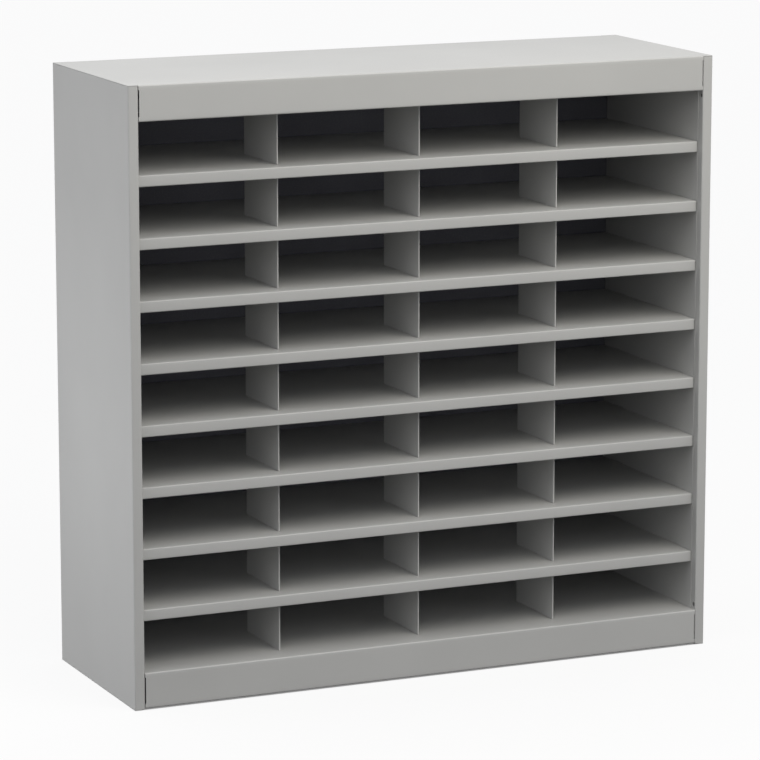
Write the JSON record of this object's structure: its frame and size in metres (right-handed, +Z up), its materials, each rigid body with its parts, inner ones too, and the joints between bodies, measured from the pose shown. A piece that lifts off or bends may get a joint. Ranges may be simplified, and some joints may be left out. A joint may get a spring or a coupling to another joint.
{
  "type": "pigeonhole mail sorter",
  "caption": "Grey sheet-steel mail sorter: an open-fronted cabinet of flat pigeonholes, with folded shelves, short upright dividers, a top apron and a kick base.",
  "frame": {"origin": "on the floor at the centre of the footprint", "axes": "+X across the width to the right as seen from the front, -Y out of the open front, +Z up"},
  "size_m": [0.9524, 0.3238, 0.9271],
  "materials": {
    "grey_paint": "satin powder coat with a fine orange peel",
    "dark_board": "charcoal-coated hardboard, matt",
    "rivet_aluminium": "plain drawn aluminium"
  },
  "bodies": {
    "root": {"side_panel_left": "grey_paint", "side_panel_right": "grey_paint", "side_liner_left": "grey_paint", "side_liner_right": "grey_paint", "top_panel": "grey_paint", "base_panel": "grey_paint", "top_liner": "grey_paint", "shelf_1": "grey_paint", "shelf_2": "grey_paint", "shelf_3": "grey_paint", "shelf_4": "grey_paint", "shelf_5": "grey_paint", "shelf_6": "grey_paint", "shelf_7": "grey_paint", "shelf_8": "grey_paint", "divider_row1_1": "grey_paint", "divider_row1_2": "grey_paint", "divider_row1_3": "grey_paint", "divider_row2_1": "grey_paint", "divider_row2_2": "grey_paint", "divider_row2_3": "grey_paint", "divider_row3_1": "grey_paint", "divider_row3_2": "grey_paint", "divider_row3_3": "grey_paint", "divider_row4_1": "grey_paint", "divider_row4_2": "grey_paint", "divider_row4_3": "grey_paint", "divider_row5_1": "grey_paint", "divider_row5_2": "grey_paint", "divider_row5_3": "grey_paint", "divider_row6_1": "grey_paint", "divider_row6_2": "grey_paint", "divider_row6_3": "grey_paint", "divider_row7_1": "grey_paint", "divider_row7_2": "grey_paint", "divider_row7_3": "grey_paint", "divider_row8_1": "grey_paint", "divider_row8_2": "grey_paint", "divider_row8_3": "grey_paint", "divider_row9_1": "grey_paint", "divider_row9_2": "grey_paint", "divider_row9_3": "grey_paint", "back_panel": "dark_board", "rivet_left_1": "rivet_aluminium", "rivet_left_2": "rivet_aluminium", "rivet_left_3": "rivet_aluminium", "rivet_left_4": "rivet_aluminium", "rivet_right_1": "rivet_aluminium", "rivet_right_2": "rivet_aluminium", "rivet_right_3": "rivet_aluminium", "rivet_right_4": "rivet_aluminium", "rivet_top_1": "rivet_aluminium", "rivet_top_2": "rivet_aluminium", "rivet_top_3": "rivet_aluminium", "rivet_base_1": "rivet_aluminium", "rivet_base_2": "rivet_aluminium", "rivet_base_3": "rivet_aluminium"}
  },
  "joints": []
}
